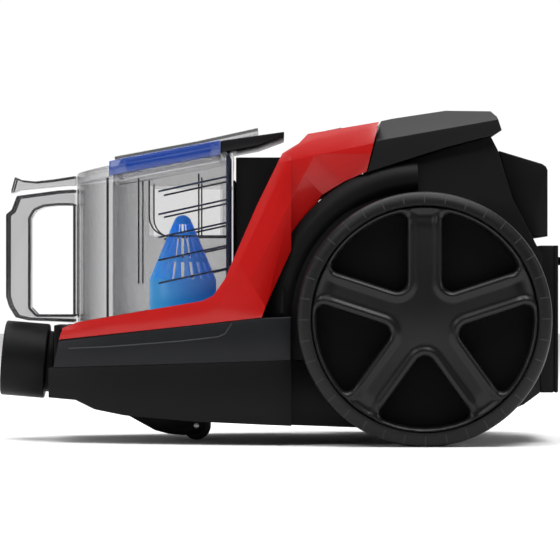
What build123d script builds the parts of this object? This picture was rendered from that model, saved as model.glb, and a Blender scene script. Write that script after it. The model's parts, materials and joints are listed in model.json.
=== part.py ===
from build123d import *
import math
import os

# Canister vacuum cleaner. Millimetres, +Z up, the machine faces -X.
# Origin: on the floor, under the middle of the machine. Left is -Y.

# ---- Driving dimensions -------------------------------------------------
wheel_radius = 90.0          # big rear wheels
wheel_width = 32.5
wheel_gap = 8.0              # between the waist of the body and a wheel
tyre_depth = 10.0            # tyre section, measured along a radius
axle_x = 102.0
axle_radius = 7.0

front_x = -167.5             # front wall of the body
notch_x = axle_x - wheel_radius - 4.0     # the body steps in here to make room for a wheel
tail_x = 150.0               # behind this the body tapers
rear_x = 187.0
nose_half = 62.0             # half widths of the body along its length
shoulder_half = 84.0
hip_half = 104.0
body_half = 116.0
waist_half = 100.0
tail_half = 76.0
shoulder_x = -120.0
hip_x = -60.0
lean = 20.0                  # the sides lean in by this from the deck to the top
lean_low_z = 95.0
lean_high_z = 236.0
wall = 3.0                   # moulded shell walls
fit = 0.3                    # clearance between moulded pieces
running_fit = 0.05           # radial clearance of a shaft in its bore

belt_front_z = 54.0          # top of the tub at the nose
belt_rear_z = 60.5           # top of the tub behind the nose
tub_floor_z = 12.4           # lowest line of the tub, at the rear

bin_front_x = -150.0
bin_rear_x = -34.0
bin_half = 68.0
bin_wall = 2.5
bin_floor_z = 85.0
deck_z = bin_floor_z - fit   # top of the deck that the bin stands on
bin_rim_front_z = 188.0      # the rim of the bin rises to the rear
bin_rim_rear_z = 209.5
bin_curve_x = -95.0          # the rounded front of the bin starts here
lid_thickness = 8.0
cyclone_x = -72.0
cyclone_radius = 52.0
cone_radius = 24.8
cone_shoulder_z = 118.0
cone_neck_z = 160.6
cone_tip_radius = 6.7
cone_wall = 2.0
cone_slots = 20
handle_reach = 51.7          # the bin handle stands this far ahead of the bin
handle_half = 14.0

inlet_radius = 27.5          # outer collar of the hose inlet
inlet_bore = 19.0
inlet_length = 32.5
inlet_tilt = 4.9             # degrees, the mouth looks slightly up
inlet_mouth_z = 60.5
inlet_mouth_x = -204.4

motor_x = 84.0
motor_z = 92.0
motor_radius = 44.0
motor_length = 96.0
shaft_radius = 4.0
reel_x = 103.0
reel_radius = 46.0
reel_height = 30.0
reel_bore = 7.0

caster_x = -90.0              # swivel pin of the front caster
caster_trail = 28.5
recess_z = 23.0              # ceiling of the round recess that the caster turns in
roller_radius = 10.4
roller_width = 22.0
caster_pin_radius = 4.0
roller_pin_radius = 2.0

cap_rear_x = 158.4
arm_top_x = 70.8             # the trims end and the top cover begins here
trim_wall = 5.0
trim_edge = 6.0              # depth of the trim's front edge
vent_slats = 6

# ---- Further sizes, most of them following from those above ---------------
top_limit = lean_high_z + 20
wheel_inner = waist_half + wheel_gap          # inner face of a wheel
arch_radius = wheel_radius + wheel_gap        # round the wheel, the body stays clear of this
axle_z = wheel_radius
bay_half = bin_half + 6.0                     # inner faces of the bay that the bin drops into
bay_rear_x = bin_rear_x + 21.0                # wall behind the bin
trim_inner = bay_half + wall                  # the trims start outside the bay's walls
recess_radius = caster_trail + roller_radius + 3.0
pin_top_z = recess_z + wall + 6.0
neck_z = inlet_mouth_z - (front_x - inlet_mouth_x) * math.tan(math.radians(inlet_tilt))
nose_low_z = neck_z - inlet_radius + 2.8      # lower front edge of the tub, under the inlet's neck
screw_places = [(x, y) for x in (-126, -50) for y in (-52, 52)]
screw_radius = 3.5
screw_head = 2.2
window_half = 56.0
window_low_z = 100.0
window_top_z = 190.0
ridge_z = 217.4               # the ridge along each side of the top cover starts here
ridge_slope = 10.0
hood_top_z = 206.5            # the grille's hood ends just under the dark part of the lid
hood_rear_x = bay_rear_x + 17.0
cheek_rear_x = bay_rear_x + 10.5   # the grille's sides run back beside the window
cheek_low_z = 163.0
slider_x = 39.0
button_x = 46.0
button_y = 42.0
button_radius = 12.0
duct_x = -109.0              # the duct turns up into the bin here
duct_radius = 10.0
handle_x = bin_front_x - handle_reach         # outer line of the bin's handle
handle_low_z = inlet_mouth_z + inlet_radius   # the handle ends just over the collar
rim_slope = (bin_rim_rear_z - bin_rim_front_z) / (bin_rear_x - bin_front_x)
outlet_half = 50.0
outlet_low_z = 104.0
outlet_top_z = 186.0
frame_depth = 2.5
bin_ribs = 5
lid_split_x = -124.0         # the clear front ends and the blue ring begins
lid_rear_x = -43.0           # the ring ends and the dark rear part begins
lid_gap = 0.3
rim_radius = wheel_radius - tyre_depth
hub_radius = 18.0
hub_depth = 20.0             # the hub, from a wheel's inner face outwards
spoke_width = 24.0
spokes = 5
cover_depth = 6.0
bracket_y = 84.0
roller_x = caster_x + caster_trail
fork_top_z = recess_z - fit
fork_half = roller_width / 2 + 4.0
exhaust_low_z = 36.5
exhaust_top_z = 142.6
exhaust_depth = 10.0
rear_box_x = 193.0
exhaust_half = 72.0
door_thickness = 3.0
pleats = 24
door_slots = 8
tab_depth = 6.15             # the finger tab is the rearmost point of the machine
tab_half = 18.0
rear_box_low_z = 149.0
cord_z = 172.0
motor_front_x = motor_x - motor_length / 2
motor_back_x = motor_x + motor_length / 2
mount_thickness = 5.0
mount_width = 10.0
bearing_radius = 11.0
bearing_width = 7.0
stator_inner = motor_radius - 18.0
air_gap = 1.0
fan_blades = 9
commutator_radius = 11.0
armature_slots = 12
cooling_ports = 10
mount_front_x = motor_front_x + 10
mount_rear_x = motor_back_x - 10 - mount_width
bridge_z = motor_z + motor_radius + mount_thickness + 3
reel_low_z = bridge_z + wall + 4
reel_core = 22.0
brake_x = reel_x + 30
brake_y = reel_radius + 5
brake_pin_radius = 2.5
brake_boss_radius = 5.0
panel_slope = math.degrees(math.atan2(229 - 218.5, arm_top_x - 20))


# ---- Helpers ------------------------------------------------------------
def side_prism(points, low, high, inset=0.0):
    """A side outline of (x, z) points, drawn in by inset, extruded across the machine."""
    face = make_face(Polyline(*[(x, low, z) for x, z in points], close=True))
    if inset:
        face = offset(face, amount=-inset, kind=Kind.INTERSECTION)
    return extrude(face, amount=high - low, dir=(0, 1, 0))


def plan_prism(points, low, high):
    """A plan outline of (x, y) points, extruded upwards."""
    face = make_face(Polyline(*[(x, y, low) for x, y in points], close=True))
    return extrude(face, amount=high - low, dir=(0, 0, 1))


def section_prism(points, low, high):
    """A front outline of (y, z) points, extruded along the machine."""
    face = make_face(Polyline(*[(low, y, z) for y, z in points], close=True))
    return extrude(face, amount=high - low, dir=(1, 0, 0))


def block(x0, x1, y0, y1, z0, z1):
    """A box between two corners."""
    return Pos((x0 + x1) / 2, (y0 + y1) / 2, (z0 + z1) / 2) * Box(abs(x1 - x0), abs(y1 - y0), abs(z1 - z0))


def along_x(radius, x0, x1, y=0.0, z=0.0):
    return Pos((x0 + x1) / 2, y, z) * Rot(0, 90, 0) * Cylinder(radius, abs(x1 - x0))


def along_y(radius, y0, y1, x=0.0, z=0.0):
    return Pos(x, (y0 + y1) / 2, z) * Rot(90, 0, 0) * Cylinder(radius, abs(y1 - y0))


def along_z(radius, z0, z1, x=0.0, y=0.0):
    return Pos(x, y, (z0 + z1) / 2) * Cylinder(radius, abs(z1 - z0))


def other_side(part):
    return mirror(part, about=Plane.XZ)


def together(parts):
    """Identical pieces as one group of separate solids."""
    return Compound(children=[part.solids()[0] for part in parts])


def save(name, part):
    """Write one node, whatever number of solids it holds."""
    solids = part.solids()
    shape = solids[0] if len(solids) == 1 else Compound(children=solids)
    export_step(shape, f"parts/{name}.step")


# ---- The body's envelope ------------------------------------------------


def plan_outline(inset):
    """The body seen from above, drawn in by inset all round."""
    upper = [
        (front_x + inset, nose_half - inset),
        (shoulder_x, shoulder_half - inset),
        (hip_x, hip_half - inset),
        (notch_x - 2 * wheel_gap, body_half - inset),
        (notch_x - inset, body_half - inset),
        (notch_x - inset, waist_half - inset),
        (tail_x, waist_half - inset),
        (rear_x - inset, tail_half - inset),
    ]
    return upper + [(x, -y) for x, y in reversed(upper)]


def envelope(inset, low=0.0, high=top_limit):
    """The body's outer form: its plan, with sides that lean in above the deck."""
    half = body_half - inset
    sides = [(half, low), (half, lean_low_z), (half - lean, lean_high_z), (half - lean, top_limit)]
    sides += [(-y, z) for y, z in reversed(sides)]
    if low >= lean_low_z:
        sides = [(half - lean, low), (half - lean, high), (lean - half, high), (lean - half, low)]
    leaning = section_prism(sides, front_x - 10, rear_x + 30)
    return plan_prism(plan_outline(inset), low, high) & leaning


# ---- Body shells --------------------------------------------------------


def tub_side():
    """Side outline of the tub: a boat shape, with its deepest line at the rear."""
    return [
        (front_x, belt_front_z),
        (front_x, nose_low_z),
        (front_x + 20, nose_low_z - 1.5),
        (front_x + 34, 24.6),
        (front_x + 56, 20.5),
        (hip_x, 16.7),
        (notch_x + 47, tub_floor_z),
        (tail_x - 15, tub_floor_z),
        (rear_x - 12, 28.3),
        (rear_x, 36.5),
        (rear_x, belt_rear_z),
        (notch_x, belt_rear_z),
    ]


def belt_z(x):
    """Height of the line where the skirts stand on the tub."""
    return belt_front_z + (belt_rear_z - belt_front_z) * (x - front_x) / (notch_x - front_x)


def make_tub():
    outer = side_prism(tub_side(), -body_half, body_half) & envelope(0)
    cavity = side_prism(tub_side(), -body_half, body_half, wall) & envelope(wall)
    mouth_line = [(front_x + wall, belt_front_z - wall - 1), (rear_x - wall, belt_rear_z - wall - 1)]
    mouth_line += [(rear_x - wall, belt_rear_z + 5), (front_x + wall, belt_rear_z + 5)]
    mouth = side_prism(mouth_line, -body_half, body_half) & envelope(wall)
    dome = along_z(recess_radius + wall, 0, recess_z + wall, caster_x) & outer
    recess = along_z(recess_radius, 0, recess_z, caster_x)
    tub = outer - cavity - mouth + dome - recess
    tub += along_z(caster_pin_radius + 5, recess_z + wall - 1, pin_top_z, caster_x)
    tub -= along_z(caster_pin_radius + running_fit, 0, pin_top_z + 1, caster_x)
    return tub - along_x(inlet_radius - 4, front_x - 5, front_x + 5, z=neck_z)


skirt_line = [(front_x + 3.4, belt_z(front_x + 3.4)), (front_x + 7.5, 74.1), (-129, 77.8), (-71.5, 84.1)]
skirt_line += [(bay_rear_x, 90.8), (notch_x, 91.6), (notch_x, belt_rear_z)]


def make_skirt():
    """Left side skirt: a band round the nose, from the belt up to the trim."""
    band = side_prism(skirt_line, -body_half, -inlet_radius - 3.5)
    ring = envelope(0, belt_front_z - 1, lean_low_z) - envelope(wall, belt_front_z - 2, top_limit)
    band = band & ring
    waist = block(notch_x - wall - 4, notch_x + 1, -waist_half, waist_half, 0, 100)
    return band - waist


def make_nose_panel():
    """Centre of the nose, between the skirts, that the hose inlet passes through."""
    half = inlet_radius + 3.5 - fit
    panel = block(front_x + 2, front_x + 8, -half, half, belt_z(front_x + 8), deck_z)
    return panel - along_x(inlet_radius - 4, front_x - 5, front_x + 12, z=neck_z)


def trim_side():
    """Side outline of a red trim: a low band at the nose that turns up into an arm."""
    return [
        (front_x + 7.5, 74.6),
        (front_x + 10.6, 83.2),
        (front_x + 21.6, 87.3),
        (-70.8, 100.2),
        (-55.6, 102.7),
        (-47.5, 106.7),
        (-39.1, 118.7),
        (-16.4, 171.2),
        (1.7, 208.2),
        (13.5, 215.5),
        (19.9, 222.3),
        (arm_top_x, 230.9),
        (arm_top_x - 9, 195.1),
        (46.1, 188.3),
        (29.8, 178.4),
        (15.3, 154.8),
        (-8.2, 103.5),
        (bay_rear_x, 91.1),
        (-71.5, 84.4),
        (-129, 78.1),
    ]


def make_trim():
    """Left red trim: a skin over the arm, deep enough to cover its front edge."""
    form = side_prism(trim_side(), -body_half, -nose_half + 20) & envelope(0, 60, top_limit)
    core = Pos(trim_edge, 0, -trim_edge) * side_prism(trim_side(), -body_half, 0)
    core = core & envelope(trim_wall, 60, top_limit)
    inner = block(bin_curve_x, notch_x + 200, -trim_inner, 0, 60, top_limit)
    nose = block(front_x, bin_curve_x, -body_half, 0, 60, top_limit) & envelope(trim_wall + 3, 60, top_limit)
    wheel_room = along_y(arch_radius + 1, -body_half - 5, -waist_half, axle_x, axle_z)
    return form - core - inner - nose - wheel_room


def bay_side():
    """Side outline of the bay's walls, just inside the arms."""
    return [(-70, deck_z), (-68, 99), (-41, 117), (-18, 170), (0, 206)] + [
        (bay_rear_x + 24, 206),
        (bay_rear_x + 3, deck_z),
    ]


def make_bay():
    """The bay behind the bin: a deck, two side walls and a rear wall with a window."""
    walls = side_prism(bay_side(), -trim_inner + fit, trim_inner - fit)
    room = side_prism(bay_side(), -bay_half, bay_half)
    room = Pos(-wall, 0, 5) * room + Pos(-wall, 0, -5) * room
    deck = envelope(trim_wall + 3 + fit, deck_z - wall, deck_z)
    deck = deck & block(front_x + 8 + fit, bay_rear_x + wall, -200, 200, 0, 400)
    window = block(bay_rear_x - 4, bay_rear_x + 60, -window_half, window_half, window_low_z, window_top_z)
    for x, y in screw_places:
        deck -= along_z(screw_radius, deck_z - screw_head, deck_z + 1, x, y)
    deck -= along_z(duct_radius + fit, 0, deck_z + 1, duct_x)
    return walls - room + deck - window


def housing_side():
    """Side outline of the upper housing, between the wheels."""
    return [
        (bay_rear_x + 6.5, belt_rear_z + fit),
        (bay_rear_x + 6.5, 92),
        (9, 139),
        (25.5, 168),
        (39, 182),
        (63, 193),
        (118, 211.8),
        (151, 220.5),
        (156, 210.5),
        (166, 175.9),
        (rear_x, 135),
        (rear_x, belt_rear_z + fit),
    ]


def make_housing():
    """Upper housing: a hood over the motor and the reel, with an arch round each wheel."""
    hood = side_prism(housing_side(), -waist_half, waist_half)
    room = side_prism(housing_side(), -waist_half + wall, waist_half - wall, wall)
    base_room = block(bay_rear_x + 9.5, rear_x - 7, wall - waist_half, waist_half - wall, 50, 70)
    leaning = section_prism(housing_section(0), front_x, rear_x + 30)
    room = room & section_prism(housing_section(wall), front_x, rear_x + 30)
    flange = along_y(arch_radius + 4, -112, 112, axle_x, axle_z)
    flange -= along_y(arch_radius, -120, 120, axle_x, axle_z)
    flange -= block(-300, 300, wall - waist_half, waist_half - wall, 0, 400)
    flange = flange & envelope(trim_wall + fit, 93, top_limit) & side_prism(arch_side(), -120, 120)
    hood = (hood - room - base_room) & leaning
    hood += flange
    for y in (-1, 1):
        hood -= along_y(axle_radius + fit, y * 130, y * (waist_half - 20), axle_x, axle_z)
    front = block(bay_rear_x - 5, bay_rear_x + 60, -window_half, window_half, window_low_z, 178)
    return hood - front - along_x(6, tail_x, rear_x, z=cord_z)


def housing_section(inset):
    """The housing's sides: upright beside the wheels, drawn in under the top cover."""
    half = waist_half - inset
    side = [(half, 50), (half, 165), (half - 10, 220), (half - 10, 260)]
    return side + [(-y, z) for y, z in reversed(side)]


def arch_side():
    """Where the arch shows: between the arm's rear edge and the rear corner."""
    return [(-12, 94), (12, 146), (31, 178), (62, 192), (120, 206), (156, 206), (185, 150), (185, 94)]


def cap_side():
    """Side outline of the top cover."""
    return [
        (arm_top_x + 2, 232.2),
        (80.8, 234.0),
        (119.1, 239.7),
        (151.1, 238.8),
        (155.2, 234.5),
        (cap_rear_x, 224.6),
        (152, 221.3),
        (118, 212.3),
        (arm_top_x - 8.5, 194.6),
    ]


def crown_prism(points):
    """A front outline round the cover's side ridge, extruded along that ridge."""
    return Pos(arm_top_x, 0, ridge_z) * Rot(0, -ridge_slope, 0) * section_prism(points, -40, 120)


def make_cap():
    """Top cover: a crowned shell whose rear edge overhangs as a carrying lip."""
    half = body_half - lean + 2
    crown = [(half - 34, 19), (half, 0), (half + 3, -41)]
    crown = [(-y, z) for y, z in reversed(crown)] + crown
    shell = side_prism(cap_side(), -body_half, body_half) & crown_prism(crown)
    inner = [(y * (1 - wall / half), z - wall) for y, z in crown[1:-1]]
    inner = [(inner[0][0], -90)] + inner + [(inner[-1][0], -90)]
    room = side_prism(cap_side(), -body_half, body_half, wall)
    room += Pos(0, 0, -wall - 1) * room
    room = room & crown_prism(inner)
    return shell - room


def make_panel():
    """Control panel on top, between the arms."""
    half = trim_inner - fit
    slab = side_prism(
        [(6, 209.5), (20, 218.5), (arm_top_x - 3, 228.4), (arm_top_x - 3, 223.9), (20, 214), (9, 206.8)],
        -half, half)
    slab -= block(slider_x - 16, slider_x + 16, -3, 3, 200, 240)
    for y in (-button_y, button_y):
        slab -= along_z(button_radius + fit, 200, 240, button_x, y)
    return slab


# ---- Nose: hose inlet and duct ------------------------------------------


def inlet_frame():
    """Placement at the mouth of the inlet, with local +Z pointing into the machine."""
    return Pos(inlet_mouth_x, 0, inlet_mouth_z) * Rot(0, 90 + inlet_tilt, 0)


def make_collar():
    body = Pos(0, 0, inlet_length / 2) * Cylinder(inlet_radius, inlet_length)
    body += Pos(0, 0, inlet_length + 5) * Cylinder(inlet_radius - 5, 10 + fit)
    body -= Pos(0, 0, inlet_length / 2 + 5) * Cylinder(inlet_bore, inlet_length + 20)
    return inlet_frame() * body - block(front_x + 2 - fit, 0, -50, 50, 0, 200)


def make_inlet_seal():
    """Rubber ring between the collar's neck and the duct."""
    ring = along_x(inlet_radius - 6, front_x + 2, front_x + 8 + fit, z=neck_z)
    return ring - along_x(inlet_bore, front_x, front_x + 12, z=neck_z)


def make_duct():
    """Elbow that takes the air from the inlet up to the floor of the bin."""
    start = front_x + 8 + 2 * fit
    pipe = along_x(inlet_bore + 1, start, duct_x + duct_radius + 2, z=neck_z - 1)
    pipe += along_z(duct_radius + 3, neck_z, deck_z - wall - fit, duct_x)
    pipe -= along_x(inlet_bore - 2, start - 1, duct_x + duct_radius - 1, z=neck_z - 1)
    pipe = pipe & block(-300, 0, -50, 50, 0, deck_z - wall - fit)
    return pipe - along_z(duct_radius, neck_z, deck_z + 1, duct_x)


# ---- Bin ----------------------------------------------------------------


def rim_z(x, above=0.0):
    """Height of the bin's rim at x."""
    return bin_rim_front_z + rim_slope * (x - bin_front_x) + above


def bin_form(inset, low, high):
    """The bin's plan: straight sides and a rounded front."""
    length = bin_curve_x - bin_front_x - inset
    half = bin_half - inset
    front = Pos(bin_curve_x, 0, low) * Ellipse(length, half)
    sides = Pos((bin_curve_x + bin_rear_x - inset) / 2, 0, low) * Rectangle(
        bin_rear_x - inset - bin_curve_x, 2 * half)
    return extrude(front + sides, amount=high - low, dir=(0, 0, 1))


def under_rim(below=0.0):
    """Everything lower than the sloping rim of the bin."""
    line = [(-300, 0), (-300, rim_z(-300, -below)), (100, rim_z(100, -below)), (100, 0)]
    return side_prism(line, -200, 200)


def handle_side():
    return [
        (bin_front_x + 4, 86),
        (handle_x + 16, handle_low_z),
        (handle_x + 7, handle_low_z + 2.2),
        (handle_x + 2.3, handle_low_z + 9.9),
        (handle_x, handle_low_z + 17),
        (handle_x, 166),
        (handle_x + 4, 169),
        (handle_x + 8, 179.5),
        (handle_x + 38, 183.4),
        (bin_front_x + 4, 184.4),
    ]


def grip_hole():
    return [
        (bin_front_x - 0.5, handle_low_z + 4.5),
        (handle_x + 22, handle_low_z + 4.5),
        (handle_x + 18, handle_low_z + 9),
        (handle_x + 18, 163),
        (handle_x + 21, 168.5),
        (handle_x + 28, 171.5),
        (handle_x + 38, 172.5),
        (bin_front_x - 0.5, 172.5),
    ]


def make_bucket():
    """Clear bin with its grip handle in one moulding."""
    bucket = bin_form(0, bin_floor_z, 260) & under_rim()
    bucket += side_prism(handle_side(), -handle_half, handle_half)
    bucket -= side_prism(grip_hole(), -handle_half - 1, handle_half + 1)
    bucket -= bin_form(bin_wall, bin_floor_z + bin_wall, 270)
    bucket -= along_z(duct_radius + fit, deck_z, bin_floor_z + 5, duct_x)
    outlet = block(bin_rear_x - 10, bin_rear_x + 5, -outlet_half, outlet_half, outlet_low_z, outlet_top_z)
    return bucket - outlet


def make_cyclone_wall():
    """Smoky inner wall: a half cylinder carried straight back, with a window each side."""
    floor = bin_floor_z + bin_wall
    back = bin_rear_x - bin_wall - frame_depth - fit
    front_half = block(bin_front_x, cyclone_x, -bin_half, bin_half, 0, 300)
    outer = along_z(cyclone_radius, floor, 260, cyclone_x) & front_half
    outer += block(cyclone_x, back, -cyclone_radius, cyclone_radius, floor, 260)
    inner_radius = cyclone_radius - 1.6
    inner = along_z(inner_radius, floor - 1, 270, cyclone_x) & front_half
    inner += block(cyclone_x, back + 5, -inner_radius, inner_radius, floor - 1, 270)
    window = block(cyclone_x - 23, back - 4, -bin_half, bin_half, 150, 186)
    return (outer - inner - window) & under_rim(4 + fit)


def make_outlet_frame():
    """Blue frame inside the rear wall of the bin, with the five long side ribs."""
    face = bin_rear_x - bin_wall
    half = bin_half - bin_wall - fit
    floor = bin_floor_z + bin_wall
    frame = block(face - frame_depth, face, -half, half, floor, 260) & under_rim(fit)
    frame -= block(face - 9, face + 1, -outlet_half, outlet_half, outlet_low_z, outlet_top_z)
    for count in range(bin_ribs):
        z = 118.0 + 16.6 * count
        rib = side_prism([(-88, z - 3.4), (-88, z - 2), (face - 1, z + 9), (face - 1, z + 7.6)], -half, half)
        rib -= block(-100, 0, 2.2 - half, half - 2.2, 0, 300)
        frame += rib
    return frame


def make_cone():
    """Blue vortex cone: a cylinder, a cone with three rows of slots, and a domed tip."""
    base = bin_floor_z + bin_wall
    height = cone_neck_z - cone_shoulder_z
    middle = (cone_shoulder_z + cone_neck_z) / 2
    cone = along_z(cone_radius, base, cone_shoulder_z, cyclone_x)
    cone += Pos(cyclone_x, 0, middle) * Cone(cone_radius, cone_tip_radius, height)
    cone += Pos(cyclone_x, 0, cone_neck_z - 1.5) * Sphere(cone_tip_radius)
    inner = along_z(cone_radius - cone_wall, base - 1, cone_shoulder_z, cyclone_x)
    hollow = Cone(cone_radius - cone_wall, cone_tip_radius - cone_wall, height)
    inner += Pos(cyclone_x, 0, middle - 2) * hollow
    cone -= inner
    for low, high in ((118.5, 131), (134, 150), (152.5, 159)):
        width = 1.3 + 2.2 * (cone_neck_z - low) / height
        for count in range(cone_slots // 2):
            slot = Box(4 * cone_radius, width, high - low)
            cone -= Pos(cyclone_x, 0, (low + high) / 2) * Rot(0, 0, 360 * count / cone_slots) * slot
    return cone


def make_bin_seal():
    """Rubber ring round the outlet of the bin, pressed on the grille when the bin is in."""
    face = bin_rear_x + fit / 3
    ring = block(face, face + 1.5, -outlet_half - 4, outlet_half + 4, outlet_low_z - 4, outlet_top_z + 4)
    return ring - block(face - 1, face + 3, -outlet_half, outlet_half, outlet_low_z, outlet_top_z)


# ---- Lid ----------------------------------------------------------------


def lid_slab(x0, x1, low, high, inset=0.0):
    """A slab that follows the rim, between two heights over it."""
    line = [(x0, rim_z(x0, low)), (x1, rim_z(x1, low)), (x1, rim_z(x1, high)), (x0, rim_z(x0, high))]
    return side_prism(line, -bin_half - 1, bin_half + 1) & bin_form(inset, 100, 300)


def make_lid_front():
    return lid_slab(bin_front_x - 4, lid_split_x, lid_gap, lid_thickness)


def make_lid_ring():
    """Blue frame of the lid, open in the middle, with a short skirt down into the bin."""
    ring = lid_slab(lid_split_x + lid_gap / 2, lid_rear_x, lid_gap, lid_thickness + 3)
    ring -= lid_slab(lid_split_x + 12, lid_rear_x - 8, lid_gap + 2, 40, 10)
    return ring


def make_lid_window():
    """Clear plate over the ring that runs back as a thin tongue."""
    base = lid_thickness + 3 + lid_gap
    line = [(lid_split_x + 4, base), (-60, base), (-16, base + 1.5)]
    points = [(x, rim_z(x, z)) for x, z in line]
    points += [(x, rim_z(x, z + 2.6)) for x, z in reversed(line)]
    tongue = side_prism(points, 14 - bin_half, bin_half - 14)
    return tongue


def make_lid_rear():
    """Dark rear part of the lid, over the grille."""
    start = lid_rear_x + lid_gap
    points = [(start, 2), (-16, 2), (3, 5.5), (3, 8.5), (start, lid_thickness + 2.5)]
    return side_prism([(x, rim_z(x, z)) for x, z in points], 2 - bin_half, bin_half - 2)


def make_lid_seal():
    """Soft ring under the lid that closes the gap inside the bin's wall."""
    ring = lid_slab(lid_split_x + 3, bin_rear_x - bin_wall - 4, -4, 0, bin_wall + fit)
    return ring - lid_slab(lid_split_x + 7, bin_rear_x - bin_wall - 8, -9, 9, bin_wall + 4)


def make_release_button():
    """Beak-shaped button on top of the grip."""
    line = [
        (handle_x + 3.4, 181.5),
        (handle_x + 6.3, 193.9),
        (handle_x + 11.4, 191.4),
        (handle_x + 21.3, 190.4),
        (handle_x + 34.2, 191.9),
        (bin_front_x - 0.4, 194.5),
        (bin_front_x - 0.4, bin_rim_front_z - 0.7),
        (handle_x + 45, bin_rim_front_z - 0.7),
        (handle_x + 10, 184),
    ]
    return side_prism(line, 2 - handle_half, handle_half - 2)


# ---- Wheels -------------------------------------------------------------


def make_tyre():
    """Left tyre: a ring with rounded shoulders."""
    tyre = along_y(wheel_radius, -wheel_inner - wheel_width, -wheel_inner, axle_x, axle_z)
    tyre = fillet(tyre.edges().filter_by(GeomType.CIRCLE), 4.0)
    return tyre - along_y(rim_radius, -200, 0, axle_x, axle_z)


def make_wheel_core():
    """Left wheel: an outer ring, a back disc and a hub that runs on the axle."""
    face = -wheel_inner
    ring = along_y(rim_radius, face - wheel_width + 2.5, face, axle_x, axle_z)
    ring -= along_y(rim_radius - 4, -200, face - 4, axle_x, axle_z)
    ring += along_y(hub_radius, face - hub_depth, face - 1, axle_x, axle_z)
    return ring - along_y(axle_radius + running_fit, -200, 0, axle_x, axle_z)


def make_wheel_cover():
    """Left wheel cover: five spokes that widen into a domed middle, clipped in the ring."""
    outer = -wheel_inner - wheel_width + 3
    cover = along_y(30, outer, outer + cover_depth, axle_x, axle_z)
    for count in range(spokes):
        angle = 90 + 360 * count / spokes
        spoke = Pos(rim_radius / 2, 0, 0) * Box(rim_radius, cover_depth, spoke_width)
        cover += Pos(axle_x, outer + cover_depth / 2, axle_z) * Rot(0, -angle, 0) * spoke
    return cover & along_y(rim_radius - 4 - fit, -200, 0, axle_x, axle_z)


def make_axle():
    """Left stub axle: a pin with a flange that is bolted to the bracket in the tub."""
    flange = along_y(16, -bracket_y - 6, -bracket_y, axle_x, axle_z)
    return flange + along_y(axle_radius, -wheel_inner - hub_depth - 3, -bracket_y, axle_x, axle_z)


def make_axle_clip():
    """Clip on the end of the left axle that keeps the wheel on."""
    start = -wheel_inner - hub_depth - fit
    return along_y(12, start - 2, start, axle_x, axle_z) - along_y(axle_radius, -200, 0, axle_x, axle_z)


# ---- Caster -------------------------------------------------------------


def make_fork():
    """Caster fork: a boat-shaped fairing with the roller between two cheeks at its rear."""
    line = [
        (caster_x - 23.5, 19),
        (caster_x - 12.5, 12.8),
        (caster_x - 2, 7.1),
        (caster_x + 8, 4.5),
        (caster_x + 18.5, 3.5),
        (roller_x + 1, 4.2),
        (roller_x + 6, 8),
        (roller_x + 6, 19),
        (roller_x, fork_top_z),
        (caster_x - 20, fork_top_z),
    ]
    fork = side_prism(line, -fork_half, fork_half)
    start = roller_x - roller_radius - 2
    room_half = roller_width / 2 + 0.6
    fork -= block(start, roller_x + 30, -room_half, room_half, 0, recess_z + 5)
    fork -= along_y(roller_pin_radius, -100, 100, roller_x, roller_radius)
    return fork - along_z(caster_pin_radius, 10, 60, caster_x)


def make_caster_pin():
    """Steel pin that the fork turns on."""
    return along_z(caster_pin_radius, 10, pin_top_z, caster_x)


def make_roller():
    roller = along_y(roller_radius, -roller_width / 2, roller_width / 2, roller_x, roller_radius)
    roller = fillet(roller.edges().filter_by(GeomType.CIRCLE), 1.5)
    return roller - along_y(roller_pin_radius + running_fit, -100, 100, roller_x, roller_radius)


def make_roller_pin():
    return along_y(roller_pin_radius, -fork_half, fork_half, roller_x, roller_radius)


# ---- Rear ---------------------------------------------------------------


def make_exhaust_box():
    """Frame on the rear wall that holds the exhaust filter."""
    face = rear_x + fit
    box = block(face, face + exhaust_depth, -exhaust_half, exhaust_half, exhaust_low_z, exhaust_top_z)
    inner = exhaust_half - wall
    return box - block(face - 1, face + 40, -inner, inner, exhaust_low_z + 12, exhaust_top_z - wall)


def make_exhaust_filter():
    """Pleated filter that fills the exhaust frame."""
    face = rear_x + 2 * fit
    half = exhaust_half - wall - fit
    low = exhaust_low_z + 12 + fit
    high = exhaust_top_z - wall - fit
    pitch = 2 * half / pleats
    block_back = block(face, face + 3.5, -half, half, low, high)
    for count in range(pleats):
        y = -half + pitch * count
        block_back += block(face + 3, face + exhaust_depth - 1, y, y + pitch / 2, low, high)
    return block_back


def make_exhaust_door():
    """Slotted rear door with a round lower edge that it hinges on and a finger tab at its top."""
    face = rear_x + 2 * fit + exhaust_depth
    hinge_z = exhaust_low_z + door_thickness / 2
    door = block(face, face + door_thickness, -exhaust_half, exhaust_half, hinge_z, exhaust_top_z)
    door += along_y(door_thickness / 2, -exhaust_half, exhaust_half, face + door_thickness / 2, hinge_z)
    outer = face + door_thickness
    door += block(outer - 1, outer + tab_depth, -tab_half, tab_half, exhaust_top_z - 14, exhaust_top_z - 8)
    for count in range(door_slots):
        z = exhaust_low_z + 38 + 8 * count
        door -= block(face - 1, face + 9, -exhaust_half + 14, exhaust_half - 14, z, z + 3.5)
    return door


def make_rear_box():
    """Upper rear cover, behind the cord reel."""
    half = exhaust_half
    line = [(157.6, 211), (rear_box_x - 4, 201.5), (rear_box_x - 1.2, 199.6), (rear_box_x, 197)]
    line += [(rear_box_x, rear_box_low_z)]
    line += [(180.6, rear_box_low_z), (167, 176)]
    cover = side_prism(line, -half, half) - side_prism(line, wall - half, half - wall, wall)
    return cover - along_x(8, rear_box_x - 8, rear_box_x + 7, z=cord_z)


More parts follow.
